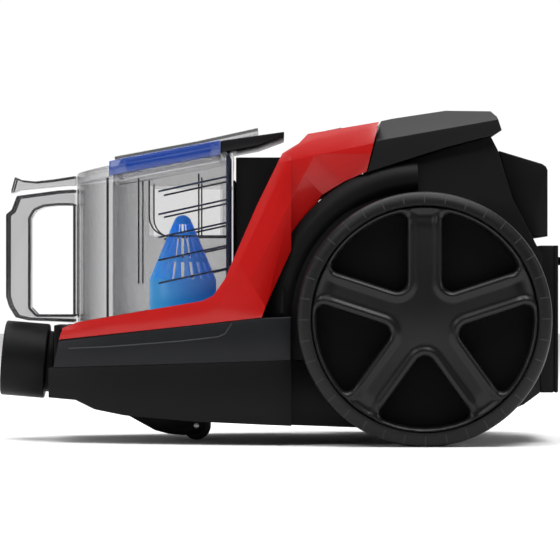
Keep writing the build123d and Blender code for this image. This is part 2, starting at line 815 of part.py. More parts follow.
def make_cord_outlet():
    """Ring that the cord would run out through."""
    gland = along_x(8 - fit / 3, rear_box_x - 4, rear_box_x + 2, z=cord_z)
    gland += along_x(11, rear_box_x + fit / 3, rear_box_x + 3, z=cord_z)
    return gland - along_x(4, rear_box_x - 8, rear_box_x + 12, z=cord_z)


# ---- Motor --------------------------------------------------------------


def make_casing():
    """Motor casing: a can with a bearing seat in each end."""
    can = along_x(motor_radius, motor_front_x, motor_back_x, z=motor_z)
    can -= along_x(motor_radius - wall, motor_front_x + wall, motor_back_x - wall, z=motor_z)
    for x in (motor_front_x, motor_back_x - bearing_width - 2):
        can += along_x(bearing_radius + 4, x, x + bearing_width + 2, z=motor_z)
    can -= along_x(bearing_radius, motor_front_x - 1, motor_front_x + bearing_width, z=motor_z)
    can -= along_x(bearing_radius, motor_back_x - bearing_width, motor_back_x + 1, z=motor_z)
    can -= along_x(shaft_radius + 2, 0, 300, z=motor_z)
    port = Pos(0, 0, motor_radius - 16) * Box(12, 7, 14)
    for count in range(cooling_ports):
        can -= Pos(motor_back_x - 1, 0, motor_z) * Rot(360 * count / cooling_ports, 0, 0) * port
    return can


def make_bearings():
    group = []
    for x in (motor_front_x, motor_back_x - bearing_width):
        ring = along_x(bearing_radius, x, x + bearing_width, z=motor_z)
        group.append(ring - along_x(shaft_radius + running_fit, 0, 300, z=motor_z))
    return together(group)


def make_stator():
    """Laminated ring round the armature."""
    ring = along_x(motor_radius - wall, motor_x - 12, motor_x + 22, z=motor_z)
    return ring - along_x(stator_inner, 0, 300, z=motor_z)


def make_shaft():
    return along_x(shaft_radius, motor_front_x - 1, motor_back_x + 2, z=motor_z)


def make_armature():
    """Slotted armature and its commutator, pressed on the shaft."""
    core = along_x(stator_inner - air_gap, motor_x - 10, motor_x + 20, z=motor_z)
    slot = Pos(0, 0, stator_inner) * Box(40, 2.5, 12)
    for count in range(armature_slots):
        core -= Pos(motor_x + 5, 0, motor_z) * Rot(360 * count / armature_slots, 0, 0) * slot
    core += along_x(commutator_radius, motor_x + 20, motor_x + 35, z=motor_z)
    return core - along_x(shaft_radius, 0, 300, z=motor_z)


def make_impeller():
    """Fan: a disc with curved-back blades on the intake side of the motor."""
    start = motor_front_x + bearing_width + 4
    fan = along_x(motor_radius - wall - 3, start + 10, start + 12, z=motor_z)
    fan += along_x(9, start, start + 12, z=motor_z)
    length = motor_radius - 14
    blade = Pos(0, 4, 8 + length / 2) * Rot(20, 0, 0) * Box(9, 1.5, length)
    for count in range(fan_blades):
        fan += Pos(start + 6, 0, motor_z) * Rot(360 * count / fan_blades, 0, 0) * blade
    return fan - along_x(shaft_radius, 0, 300, z=motor_z)


def make_brushes():
    """Two carbon brushes, either side of the commutator."""
    reach = motor_radius - wall - fit
    brush = block(motor_x + 24, motor_x + 31, -reach, -commutator_radius - fit, motor_z - 3, motor_z + 3)
    return together([brush, other_side(brush)])


def make_motor_mounts():
    """Two rubber rings between the casing and its cradles."""
    group = []
    for x in (mount_front_x, mount_rear_x):
        ring = along_x(motor_radius + mount_thickness, x, x + mount_width, z=motor_z)
        group.append(ring - along_x(motor_radius, 0, 300, z=motor_z))
    return together(group)


def make_cradle(x):
    """Rib of the tub that carries a motor mount."""
    half = motor_radius + mount_thickness + 4
    rib = block(x + 2, x + mount_width - 2, -half, half, tub_floor_z + 1, motor_z)
    return rib - along_x(motor_radius + mount_thickness, 0, 300, z=motor_z)


# ---- Grille and filter behind the bin -----------------------------------
def make_grille():
    """Louvred housing that the bin seals against."""
    face = bin_rear_x + 1.5 + 2 * fit
    back = bay_rear_x - fit
    half = window_half + 4
    box = block(face, back, -half, half, window_low_z - 4, window_top_z + 4)
    hood_low_z = window_top_z + 3
    hood = [(face, hood_low_z), (face, hood_top_z)]
    hood += [(hood_rear_x, hood_top_z), (hood_rear_x - 4, hood_low_z), (cheek_rear_x, cheek_low_z)]
    hood += [(back - 1, cheek_low_z), (back - 1, hood_low_z)]
    box += side_prism(hood, -half, half)
    box -= block(face - 1, back + 1, wall - half, half - wall, window_low_z - 1, window_top_z + 1)
    hollow = block(face + 2, hood_rear_x - 7, wall - half, half - wall, hood_low_z - 5, hood_top_z - 2)
    box -= hollow & side_prism(hood, -half, half)
    box -= block(back - 1, hood_rear_x, wall - half, half - wall, cheek_low_z - 1, window_top_z)
    for count in range(vent_slats):
        z = window_low_z + 8 + 14 * count
        slat = [(face, z), (back - 7, z + 2), (back, z + 9), (back, z + 10.5)]
        slat += [(back - 8, z + 4), (face, z + 2)]
        box += side_prism(slat, 2 - half, half - 2)
    return box


def make_motor_filter():
    """Foam filter in the wall between the grille and the motor."""
    start = bay_rear_x + wall + 1 + fit
    half = window_half - fit
    return block(start, start + 12, -half, half, window_low_z + fit, 150)


# ---- Cord reel ----------------------------------------------------------


def make_bridge():
    """Shelf across the housing, with the post for the reel and the pin for its brake."""
    half = waist_half - wall - fit
    top = bridge_z + wall
    bridge = block(reel_x - 42, reel_x + 42, -half, half, bridge_z, top)
    bridge += along_z(reel_bore, top - 1, reel_low_z + reel_height + 2, reel_x)
    bridge += along_z(reel_bore + 6, top - 1, reel_low_z - fit, reel_x)
    bridge += along_z(brake_pin_radius, top - 1, reel_low_z + 22, brake_x, brake_y)
    return bridge + along_z(brake_boss_radius, top - 1, reel_low_z + 10 - fit, brake_x, brake_y)


def make_reel():
    """Cord reel: two flanges on a core."""
    reel = along_z(reel_core, reel_low_z, reel_low_z + reel_height, reel_x)
    for z in (reel_low_z, reel_low_z + reel_height - 2.5):
        reel += along_z(reel_radius, z, z + 2.5, reel_x)
    return reel - along_z(reel_bore + running_fit, 0, 400, reel_x)


def make_spring_case():
    """Drum of the rewind spring, fixed on top of the reel's axle."""
    low = reel_low_z + reel_height + 2
    return along_z(18, low, low + 8, reel_x)


def make_brake_lever():
    """Lever whose pad rubs on the rim of the reel."""
    low = reel_low_z + 10
    lever = block(reel_x - 8, brake_x, reel_radius + fit, reel_radius + 6, low, low + 8)
    lever += along_z(brake_boss_radius, low, low + 8, brake_x, brake_y)
    return lever - along_z(brake_pin_radius + running_fit, 0, 400, brake_x, brake_y)


# ---- Controls -----------------------------------------------------------


def panel_top(x):
    return 218.5 + (x - 20) * math.tan(math.radians(panel_slope))


def make_button(y):
    top = panel_top(button_x) + 3.0
    button = along_z(button_radius, top - 10, top, button_x, y)
    return fillet(button.edges().group_by(Axis.Z)[-1], 1.0)


def make_slider():
    """Suction slider: a cap with a stem through the slot."""
    frame = Pos(slider_x, 0, panel_top(slider_x)) * Rot(0, -panel_slope, 0)
    return frame * (Pos(0, 0, 3.3) * Box(16, 20, 6) + Pos(0, 0, -2) * Box(6, 5, 8))


def make_board():
    """Circuit board on the inside of the right axle bracket."""
    return block(axle_x - 20, axle_x + 16, bracket_y - 6 - fit - 1.6, bracket_y - 6 - fit, 66, 108)


def make_screws():
    """Countersunk screws that hold the deck down, under the bin."""
    return together([along_z(screw_radius, deck_z - screw_head, deck_z, x, y) for x, y in screw_places])


# ---- Write every piece --------------------------------------------------
def make_tub_with_cradles():
    tub = make_tub() + make_cradle(mount_front_x) + make_cradle(mount_rear_x)
    for side in (-1, 1):
        low, high = sorted((side * bracket_y, side * (bracket_y - 6)))
        tub += block(axle_x - 20, axle_x + 20, low, high, tub_floor_z + 1, axle_z + 20)
    return tub


os.makedirs("parts", exist_ok=True)
save("base_tub", make_tub_with_cradles())
save("nose_panel", make_nose_panel())
save("bin_bay", make_bay())
save("upper_housing", make_housing())
save("top_cover", make_cap())
save("control_panel", make_panel())
for name, piece in (("side_skirt", make_skirt()), ("red_trim", make_trim()), ("tyre", make_tyre()),
                    ("wheel_core", make_wheel_core()), ("wheel_cover", make_wheel_cover())):
    save(f"{name}_left", piece)
    save(f"{name}_right", other_side(piece))
save("wheel_axles", together([make_axle(), other_side(make_axle())]))
save("axle_clips", together([make_axle_clip(), other_side(make_axle_clip())]))
save("inlet_collar", make_collar())
save("inlet_seal", make_inlet_seal())
save("inlet_duct", make_duct())
save("bin_bucket", make_bucket())
save("cyclone_wall", make_cyclone_wall())
save("outlet_frame", make_outlet_frame())
save("vortex_cone", make_cone())
save("bin_seal", make_bin_seal())
save("lid_front", make_lid_front())
save("lid_ring", make_lid_ring())
save("lid_window", make_lid_window())
save("lid_rear", make_lid_rear())
save("lid_seal", make_lid_seal())
save("release_button", make_release_button())
save("caster_fork", make_fork())
save("caster_pin", make_caster_pin())
save("caster_roller", make_roller())
save("roller_pin", make_roller_pin())
save("exhaust_box", make_exhaust_box())
save("exhaust_filter", make_exhaust_filter())
save("exhaust_door", make_exhaust_door())
save("rear_box", make_rear_box())
save("cord_outlet", make_cord_outlet())
save("motor_casing", make_casing())
save("motor_bearings", make_bearings())
save("motor_stator", make_stator())
save("motor_shaft", make_shaft())
save("armature", make_armature())
save("fan_impeller", make_impeller())
save("carbon_brushes", make_brushes())
save("motor_mounts", make_motor_mounts())
save("bin_grille", make_grille())
save("motor_filter", make_motor_filter())
save("reel_bridge", make_bridge())
save("cord_reel", make_reel())
save("spring_case", make_spring_case())
save("brake_lever", make_brake_lever())
save("power_button", make_button(-button_y))
save("rewind_button", make_button(button_y))
save("suction_slider", make_slider())
save("circuit_board", make_board())
save("deck_screws", make_screws())
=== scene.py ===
import json
import math

import bpy
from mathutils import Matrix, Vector
from mathutils.bvhtree import BVHTree


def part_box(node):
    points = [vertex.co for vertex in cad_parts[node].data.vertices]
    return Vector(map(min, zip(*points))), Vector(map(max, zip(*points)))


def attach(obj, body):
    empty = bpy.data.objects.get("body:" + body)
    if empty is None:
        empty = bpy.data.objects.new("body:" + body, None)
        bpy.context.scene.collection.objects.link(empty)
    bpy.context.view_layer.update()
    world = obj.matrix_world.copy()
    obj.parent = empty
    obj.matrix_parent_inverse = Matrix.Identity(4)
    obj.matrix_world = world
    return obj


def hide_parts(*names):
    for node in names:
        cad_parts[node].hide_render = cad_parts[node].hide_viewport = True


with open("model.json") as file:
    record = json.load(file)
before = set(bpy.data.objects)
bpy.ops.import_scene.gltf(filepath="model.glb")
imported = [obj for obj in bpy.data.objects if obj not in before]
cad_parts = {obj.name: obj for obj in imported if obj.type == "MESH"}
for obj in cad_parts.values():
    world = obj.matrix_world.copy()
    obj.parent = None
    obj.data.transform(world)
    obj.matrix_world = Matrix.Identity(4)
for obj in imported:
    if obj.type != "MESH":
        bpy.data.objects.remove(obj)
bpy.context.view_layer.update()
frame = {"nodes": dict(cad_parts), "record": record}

scene = bpy.context.scene

# ---- The table: a plain pale floor, soft studio light and the camera at the side of the machine.
# The floor is a sheet of matt paper, with a lit white screen standing far behind the machine.
# Large soft boxes hang above, ahead, behind and to the near side; the rest of the room is dim.
bpy.ops.object.select_all(action="DESELECT")
bpy.ops.mesh.primitive_plane_add(size=9.0, location=(0, 1.2, 0))
paper = bpy.context.object
paper.name = "paper_floor"
bpy.ops.object.transform_apply(location=True)
bpy.ops.mesh.primitive_plane_add(size=12.0, location=(0, 5.5, 3.0), rotation=(math.radians(90), 0, 0))
screen = bpy.context.object
screen.name = "lit_screen"
bpy.ops.object.transform_apply(location=True, rotation=True)


class Value:
    """A number or colour inside a finish, so that patterns are written as sums."""

    def __init__(self, finish, socket):
        self.finish = finish
        self.socket = socket

    def join(self, operation, first, second):
        return self.finish.node("ShaderNodeMath", {"operation": operation}, {0: first, 1: second})

    def __add__(self, other):
        return self.join("ADD", self, other)

    def __radd__(self, other):
        return self.join("ADD", other, self)

    def __mul__(self, other):
        return self.join("MULTIPLY", self, other)

    def __rmul__(self, other):
        return self.join("MULTIPLY", other, self)

    def __pow__(self, other):
        return self.join("POWER", self, other)


class Finish:
    """One material: a principled shader whose sockets take numbers, colours or patterns."""

    def __init__(self, name, **sockets):
        self.material = bpy.data.materials.new(name)
        self.material.use_nodes = True
        self.tree = self.material.node_tree
        self.shader = self.tree.nodes["Principled BSDF"]
        self.place = self.node("ShaderNodeTexCoord", {}, {}, "Object")
        for socket, value in sockets.items():
            self.set(socket.replace("_", " "), value)

    def feed(self, socket, value):
        if isinstance(value, Value):
            self.tree.links.new(value.socket, socket)
        else:
            socket.default_value = value

    def node(self, kind, settings, sockets, output=0):
        made = self.tree.nodes.new(kind)
        for name, value in settings.items():
            if name == "stops":
                ramp = made.color_ramp
                ramp.elements[0].position, ramp.elements[0].color = value[0]
                ramp.elements[1].position, ramp.elements[1].color = value[-1]
                for position, color in value[1:-1]:
                    ramp.elements.new(position).color = color
            else:
                setattr(made, name, value)
        for name, value in sockets.items():
            self.feed(made.inputs[name], value)
        return Value(self, made.outputs[output])

    def set(self, name, value):
        self.feed(self.shader.inputs[name], value)

    def along(self, axis):
        """A place's own coordinate on one axis, in metres."""
        return self.node("ShaderNodeSeparateXYZ", {}, {"Vector": self.place}, axis)

    def noise(self, scale, detail=3.0):
        return self.node("ShaderNodeTexNoise", {}, {"Vector": self.place, "Scale": scale, "Detail": detail})

    def mix(self, factor, first, second):
        sockets = {0: factor, 6: first, 7: second}
        return self.node("ShaderNodeMix", {"data_type": "RGBA"}, sockets, 2)

    def bump(self, height, depth):
        return self.node("ShaderNodeBump", {}, {"Height": height, "Distance": depth, "Strength": 1.0})


def shade(color, factor):
    """A colour made lighter or darker."""
    return tuple(min(1.0, channel * factor) for channel in color[:3]) + (1.0,)


def paper_finish():
    finish = Finish("paper_floor", Roughness=0.9)
    fibres = finish.noise(180.0)
    finish.set("Base Color", finish.mix(fibres, (0.93, 0.93, 0.93, 1), (0.97, 0.97, 0.97, 1)))
    finish.set("Normal", finish.bump(fibres, 0.0002))
    return finish.material


paper.data.materials.append(paper_finish())


def screen_finish():
    finish = Finish("lit_screen", Roughness=1.0, Emission_Strength=1.0)
    weave = finish.noise(40.0)
    finish.set("Base Color", (0, 0, 0, 1))
    finish.set("Emission Color", finish.mix(weave, (1, 1, 1, 1), (1.02, 1.02, 1.02, 1)))
    return finish.material


screen.data.materials.append(screen_finish())

world = bpy.data.worlds.new("white_room")
scene.world = world
world.use_nodes = True
world.node_tree.nodes["Background"].inputs["Color"].default_value = (1, 1, 1, 1)
world.node_tree.nodes["Background"].inputs["Strength"].default_value = 0.06
scene.view_settings.view_transform = "Standard"

soft_boxes = [
    ("top_box", (0.0, -0.1, 2.2), (0, 0, 0.0), 2.6, 92.0),
    ("near_box", (-1.3, -1.9, 1.7), (0, 0, 0.1), 0.45, 9.0),
    ("high_strip", (0.5, -1.2, 1.7), (0.1, -0.1, 0.1), 0.35, 9.0),
    ("front_box", (-2.3, -0.8, 0.8), (-0.1, 0, 0.1), 0.9, 10.0),
    ("rear_box", (2.2, -0.5, 0.9), (0.15, 0, 0.12), 0.9, 8.0),
]
for name, place, target, size, power in soft_boxes:
    bpy.ops.object.light_add(type="AREA", location=place)
    lamp = bpy.context.object
    lamp.name = name
    lamp.data.size = size
    lamp.data.energy = power
    lamp.rotation_euler = (Vector(target) - Vector(place)).to_track_quat("-Z", "Y").to_euler()

camera_distance = 2.8
camera_height = 0.1177
view_width = 0.4144
sensor_width = 36
bpy.ops.object.camera_add(location=(0, -camera_distance, camera_height), rotation=(math.radians(90), 0, 0))
camera = bpy.context.object
camera.data.lens = sensor_width * camera_distance / view_width
scene.camera = camera

# ---- Tub, nose, bay and the other black mouldings of the body.
# Injection-moulded in black ABS with a fine spark-eroded grain; the edges keep the small round
# of the mould. They are screwed together from below, so nothing shows but the parting lines.
bodies = frame["record"]["behaviour"]["bodies"]
body_of_node = {node: body for body, nodes in bodies.items() for node in nodes}
black = (0.0042, 0.0042, 0.0046, 1)


def moulded(name, color, roughness, grain=0.00006, coat=0.0, coat_roughness=0.1, specular=0.11):
    """Moulded plastic: fine grain, faint clouding of the colour, and slightly uneven gloss."""
    finish = Finish(name, Coat_Weight=coat, Coat_Roughness=coat_roughness, Specular_IOR_Level=specular)
    cloud = finish.noise(14.0)
    speck = finish.noise(1400.0, 2.0)
    finish.set("Base Color", finish.mix(cloud, shade(color, 0.88), shade(color, 1.14)))
    finish.set("Roughness", cloud * 0.10 + speck * 0.06 + (roughness - 0.08))
    finish.set("Normal", finish.bump(speck, grain))
    return finish.material


def only(piece):
    """Select one object and nothing else."""
    if bpy.context.object and bpy.context.object.mode != "OBJECT":
        bpy.ops.object.mode_set(mode="OBJECT")
    bpy.ops.object.select_all(action="DESELECT")
    piece.select_set(True)
    bpy.context.view_layer.objects.active = piece


def apply_modifier(piece, kind, **settings):
    only(piece)
    modifier = piece.modifiers.new(kind.title(), kind)
    for name, value in settings.items():
        setattr(modifier, name, value)
    bpy.ops.object.modifier_apply(modifier=modifier.name)


def finished(piece, node, finish, *more_nodes):
    """The piece stands for its CAD nodes, moves with them and takes its finish."""
    piece.data.materials.clear()
    piece.data.materials.append(finish)
    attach(piece, body_of_node[node])
    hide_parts(node, *more_nodes)
    return piece


def cad_copy(node, ending):
    """A copy of a CAD node, with the triangles of each flat face joined."""
    piece = bpy.data.objects.new(node + ending, frame["nodes"][node].data.copy())
    scene.collection.objects.link(piece)
    only(piece)
    bpy.ops.object.mode_set(mode="EDIT")
    bpy.ops.mesh.select_all(action="SELECT")
    bpy.ops.mesh.remove_doubles(threshold=0.000002)
    bpy.ops.mesh.dissolve_limited(angle_limit=math.radians(0.5))
    bpy.ops.object.mode_set(mode="OBJECT")
    return piece


def rounded_shell(node, finish, width=0.0009, segments=2, angle=32):
    """The moulding itself, with the small round that the mould leaves on each edge."""
    piece = cad_copy(node, "_moulding")
    apply_modifier(piece, "BEVEL", width=width, segments=segments, limit_method="ANGLE",
                   angle_limit=math.radians(angle), harden_normals=False)
    bpy.ops.object.shade_smooth_by_angle(angle=math.radians(34))
    return finished(piece, node, finish)


black_grain = moulded("black_grain", black, 0.46)
for node in ("base_tub", "nose_panel", "bin_bay", "inlet_duct", "rear_box", "exhaust_box", "exhaust_door",
             "bin_grille", "caster_fork", "cord_outlet"):
    rounded_shell(node, black_grain)

# Above its foot, the outer wall of the bay is set back, and its lower part is drawn down.
bay_wall_half = 0.0735
bay_foot_z = 0.096
bay_set_back = 0.0035
bay_drop = 0.0080
bay_drop_z = 0.112
bay_drop_reach = 0.030
bay = bpy.data.objects["bin_bay_moulding"]
for vertex in bay.data.vertices:
    if abs(vertex.co.y) > bay_wall_half and vertex.co.z > bay_foot_z:
        vertex.co.x += bay_set_back
        vertex.co.z -= bay_drop * max(0.0, 1 - abs(vertex.co.z - bay_drop_z) / bay_drop_reach)

# ---- Big rear wheels.
# Each is a black moulded wheel with a soft rubber tyre shrunk on, and a five-spoke cover clipped in
# the front. The tyre's shoulder has a fine raised tick every ten degrees, coloured a lighter grey as a
# painted highlight.
tyre_low, tyre_high = (Vector(corner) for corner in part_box("tyre_left"))
hub_point = (tyre_low + tyre_high) / 2
wheel_face = tyre_low.y


def mesh_piece(name, points, edges=(), faces=()):
    """A new piece from points, in edit mode with all of it selected."""
    mesh = bpy.data.meshes.new(name)
    mesh.from_pydata(points, edges, faces)
    piece = bpy.data.objects.new(name, mesh)
    scene.collection.objects.link(piece)
    only(piece)
    bpy.ops.object.mode_set(mode="EDIT")
    bpy.ops.mesh.select_all(action="SELECT")
    return piece


def turned(name, profile, steps):
    """A ring turned about the axle from (radius, depth behind the wheel's face) points."""
    points = [(hub_point.x + radius, wheel_face + depth, hub_point.z) for radius, depth in profile]
    edges = [(i, (i + 1) % len(profile)) for i in range(len(profile))]
    piece = mesh_piece(name, points, edges)
    bpy.ops.mesh.spin(steps=steps, angle=2 * math.pi, center=hub_point, axis=(0, 1, 0))
    bpy.ops.mesh.select_all(action="SELECT")
    bpy.ops.mesh.remove_doubles(threshold=0.00001)
    bpy.ops.mesh.normals_make_consistent(inside=False)
    bpy.ops.object.mode_set(mode="OBJECT")
    return piece


def pick_faces(piece, wanted):
    """Select the faces that a test on their centre and normal accepts, and go to edit mode."""
    only(piece)
    bpy.ops.object.mode_set(mode="EDIT")
    bpy.ops.mesh.select_mode(type="FACE")
    bpy.ops.mesh.select_all(action="DESELECT")
    bpy.ops.object.mode_set(mode="OBJECT")
    for face in piece.data.polygons:
        face.select = wanted(face.center, face.normal)
    bpy.ops.object.mode_set(mode="EDIT")


def other_hand(piece, name):
    """The right-hand copy of a left-hand piece, with its own mesh."""
    copy = bpy.data.objects.new(name, piece.data.copy())
    scene.collection.objects.link(copy)
    for vertex in copy.data.vertices:
        vertex.co.y = -vertex.co.y
    only(copy)
    bpy.ops.object.mode_set(mode="EDIT")
    bpy.ops.mesh.select_all(action="SELECT")
    bpy.ops.mesh.flip_normals()
    bpy.ops.object.mode_set(mode="OBJECT")
    return copy


tyre_profile = [(0.0800, 0.0045), (0.0801, 0.0016), (0.0808, 0.0007), (0.0822, 0.0006), (0.0850, 0.0012),
                (0.0876, 0.0024), (0.0892, 0.0038), (0.0900, 0.0070), (0.0900, 0.0260), (0.0892, 0.0290),
                (0.0876, 0.0312), (0.0850, 0.0325), (0.0800, 0.0325)]
tick_spacing = 10
tick_width = 0.5
tick_inner = 0.0823
tick_outer = 0.0893
tick_deepest = 0.006
left_tyre = turned("tyre_ring_left", tyre_profile, 720)


def on_tick(place, normal):
    """Whether a place on the left tyre lies on one of the ticks of its shoulder, in degrees and metres."""
    around = math.degrees(math.atan2(place.z - hub_point.z, place.x - hub_point.x)) % tick_spacing
    out = math.hypot(place.z - hub_point.z, place.x - hub_point.x)
    return around < tick_width and tick_inner < out < tick_outer and place.y < wheel_face + tick_deepest


pick_faces(left_tyre, on_tick)
bpy.ops.mesh.extrude_region_shrink_fatten(TRANSFORM_OT_shrink_fatten={"value": 0.0004})
bpy.ops.object.mode_set(mode="OBJECT")
bpy.ops.object.shade_smooth_by_angle(angle=math.radians(40))
tyre_rubber = moulded("tyre_rubber", (0.0045, 0.0045, 0.0048, 1), 0.42, 0.00006, specular=0.22)
# Painted highlight: the ticks take a lighter grey, standing for light caught along their edges.
tick_highlight_rubber = moulded("tick_highlight_rubber", (0.035, 0.035, 0.036, 1), 0.50, 0.00006)
right_tyre = other_hand(left_tyre, "tyre_ring_right")
for tyre, node in ((left_tyre, "tyre_left"), (right_tyre, "tyre_right")):
    finished(tyre, node, tyre_rubber)
    # Faces on a tick take the lighter grey of the painted highlight.
    tyre.data.materials.append(tick_highlight_rubber)
    for face in tyre.data.polygons:
        depth = abs(wheel_face) - abs(face.center.y)
        left_place = Vector((face.center.x, wheel_face + depth, face.center.z))
        face.material_index = int(on_tick(left_place, face.normal))

core_profile = [(0.0071, 0.0125), (0.0180, 0.0125), (0.0180, 0.0180), (0.0762, 0.0180), (0.0762, 0.0060),
                (0.0798, 0.0060), (0.0798, 0.0320), (0.0740, 0.0320), (0.0740, 0.0215), (0.0071, 0.0215)]
left_core = turned("wheel_core_ring_left", core_profile, 120)
bpy.ops.object.shade_smooth_by_angle(angle=math.radians(40))
# Painted shade: the core is a darker black than the cover, for the shade inside the pockets.
core_painted_shade = moulded("wheel_core_painted_shade", (0.0022, 0.0022, 0.0024, 1), 0.60, specular=0.06)
right_core = other_hand(left_core, "wheel_core_ring_right")
finished(left_core, "wheel_core_left", core_painted_shade)
finished(right_core, "wheel_core_right", core_painted_shade)


def rounded_outline(corners, steps=6):
    """A closed outline of (x, y, radius) corners, with an arc at each corner that has a radius."""
    outline = []
    for i, (x, y, radius) in enumerate(corners):
        here = Vector((x, y))
        before = (Vector(corners[i - 1][:2]) - here).normalized()
        after = (Vector(corners[(i + 1) % len(corners)][:2]) - here).normalized()
        if radius == 0:
            outline.append(here)
            continue
        half = before.angle(after) / 2
        centre = here + (before + after).normalized() * radius / math.sin(half)
        start = here + before * radius / math.tan(half) - centre
        sweep = start.angle_signed(here + after * radius / math.tan(half) - centre)
        for step in range(steps + 1):
            turn = -sweep * step / steps
            outline.append(centre + Vector((start.x * math.cos(turn) - start.y * math.sin(turn),
                                            start.x * math.sin(turn) + start.y * math.cos(turn))))
    return outline


def plate(name, outlines, near, far, bevel, rounds=3):
    """A plate cut to closed (x, z) outlines between two depths, with rounded edges and open holes."""
    curve = bpy.data.curves.new(name, "CURVE")
    curve.dimensions = "2D"
    curve.fill_mode = "BOTH"
    curve.extrude = (far - near) / 2 - bevel
    curve.bevel_depth = bevel
    curve.bevel_resolution = rounds
    curve.offset = -bevel
    for outline in outlines:
        spline = curve.splines.new("POLY")
        spline.points.add(len(outline) - 1)
        for point, place in zip(spline.points, outline):
            point.co = (place[0], place[1], 0, 1)
        spline.use_cyclic_u = True
    piece = bpy.data.objects.new(name, curve)
    scene.collection.objects.link(piece)
    only(piece)
    bpy.ops.object.convert(target="MESH")
    piece = bpy.context.object
    for vertex in piece.data.vertices:
        vertex.co = Vector((vertex.co.x, (near + far) / 2 + vertex.co.z, vertex.co.y))
    bpy.ops.object.mode_set(mode="EDIT")
    bpy.ops.mesh.select_all(action="SELECT")
    bpy.ops.mesh.remove_doubles(threshold=0.000002)
    bpy.ops.mesh.normals_make_consistent(inside=False)
    bpy.ops.object.mode_set(mode="OBJECT")
    bpy.ops.object.shade_smooth_by_angle(angle=math.radians(35))
    return piece


spokes = 5
pocket_rim = 0.0765
pocket_apex = 0.0212
spoke_half = 0.0125


def pocket_outline(middle):
    """A rounded three-cornered pocket between two spokes, opening towards the rim."""
    edge = math.radians(36) - math.asin(spoke_half / pocket_rim)
    corners = [(pocket_apex, 0, 0.0070), (pocket_rim * math.cos(edge), -pocket_rim * math.sin(edge), 0.0050)]
    for turn in (-0.62, -0.31, 0.0, 0.31, 0.62):
        corners.append((pocket_rim * math.cos(edge * turn), pocket_rim * math.sin(edge * turn), 0))
    corners.append((pocket_rim * math.cos(edge), pocket_rim * math.sin(edge), 0.0050))
    turned_outline = []
    for place in rounded_outline(corners):
        turned_outline.append((hub_point.x + place.x * math.cos(middle) - place.y * math.sin(middle),
                               hub_point.z + place.x * math.sin(middle) + place.y * math.cos(middle)))
    return turned_outline


cover_radius = 0.0797
cover_near = 0.0035
cover_far = 0.0125
pockets = [pocket_outline(math.radians(126 + 72 * count)) for count in range(spokes)]
cover_rim = []
for i in range(120):
    turn = math.radians(3 * i)
    cover_rim.append((hub_point.x + cover_radius * math.cos(turn),
                      hub_point.z + cover_radius * math.sin(turn)))
left_cover = plate("wheel_spokes_left", [cover_rim] + pockets, wheel_face + cover_near,
                   wheel_face + cover_far, 0.0016)
apply_modifier(left_cover, "REMESH", mode="VOXEL", voxel_size=0.0011, use_smooth_shade=True)


def nearest(place, outline):
    """Distance in the wheel's plane from a place to an outline."""
    best = 1.0
    for first, second in zip(outline, outline[1:] + outline[:1]):
        run = Vector((second[0] - first[0], second[1] - first[1]))
        offset = Vector((place.x - first[0], place.z - first[1]))
        share = max(0.0, min(1.0, offset.dot(run) / max(run.length_squared, 1e-12)))
        best = min(best, (offset - run * share).length)
    return best


def swell(distance, middle, spread):
    """A smooth rise from 0 to 1 and back, highest at the middle distance."""
    return math.exp(-((distance - middle) / spread) ** 2)


# A ridge and a fine groove follow each pocket; the hub is domed, and the rim is dished inside its lip.
ridge_height, ridge_gap, ridge_spread = 0.0020, 0.0036, 0.0027
groove_depth, groove_gap, groove_spread = 0.0006, 0.0088, 0.0014
dome_height, dome_spread = 0.0022, 0.030
lip_height, lip_radius, lip_spread = 0.0016, 0.0784, 0.0011
dish_depth, dish_radius, dish_spread = 0.0016, 0.0735, 0.0045
sculpted_depth = 0.009
for vertex in left_cover.data.vertices:
    place = vertex.co
    out = math.hypot(place.x - hub_point.x, place.z - hub_point.z)
    if place.y > wheel_face + sculpted_depth:
        continue
    around = math.atan2(place.z - hub_point.z, place.x - hub_point.x)
    sector = int((math.degrees(around) - 90) % 360 // 72)
    gap = nearest(place, pockets[sector])
    ridge = (ridge_height * swell(gap, ridge_gap, ridge_spread)
             - groove_depth * swell(gap, groove_gap, groove_spread))
    dome = dome_height * swell(out, 0, dome_spread)
    lip = lip_height * swell(out, lip_radius, lip_spread)
    dish = dish_depth * swell(out, dish_radius, dish_spread)
    place.y += dish - max(ridge, lip) - dome
apply_modifier(left_cover, "SMOOTH", factor=0.5, iterations=2)
bpy.ops.object.shade_smooth()
wheel_black = moulded("wheel_black", (0.0040, 0.0040, 0.0044, 1), 0.34, 0.00003, specular=0.26)
right_cover = other_hand(left_cover, "wheel_spokes_right")
finished(left_cover, "wheel_cover_left", wheel_black)
finished(right_cover, "wheel_cover_right", wheel_black)

# ---- Dust bin: bucket with its grip handle.
# Injection-moulded in clear, faintly smoky plastic, so its edges and turned walls look dark. The grip
# is a loop with a raised rib along its outer and inner border, moulded in one with the bucket. A fine
# rib also runs up the bucket's nose and up each side. The ribs are drawn as near-black beads, painted
# shade for the dark look of their clear edges.
def see_through(name, color, face, edge, roughness=0.06, grip=()):
    """Clear or tinted plastic: open where it faces the eye and denser where it turns away."""
    finish = Finish(name, Coat_Weight=0.4, Coat_Roughness=0.03, Specular_IOR_Level=0.5)
    turned_away = finish.node("ShaderNodeLayerWeight", {}, {"Blend": 0.35}, "Facing")
    cloud = finish.noise(9.0)
    dense = turned_away ** 1.6
    if grip:
        along = finish.along("X")
        ahead = finish.node("ShaderNodeMath", {"operation": "LESS_THAN"}, {0: along, 1: grip[0]})
        dense = dense + ahead * grip[1]
    finish.set("Base Color", finish.mix(cloud, shade(color, 0.9), shade(color, 1.1)))
    finish.set("Roughness", cloud * 0.05 + roughness)
    finish.set("Alpha", dense * (edge - face) + face)
    return finish.material


grip_rear_x = -0.1512
grip_density = 0.27
clear_smoke = see_through("clear_smoke", (0.060, 0.060, 0.066, 1), 0.10, 0.95,
                          grip=(grip_rear_x, grip_density))
rounded_shell("bin_bucket", clear_smoke, 0.0008, 3)


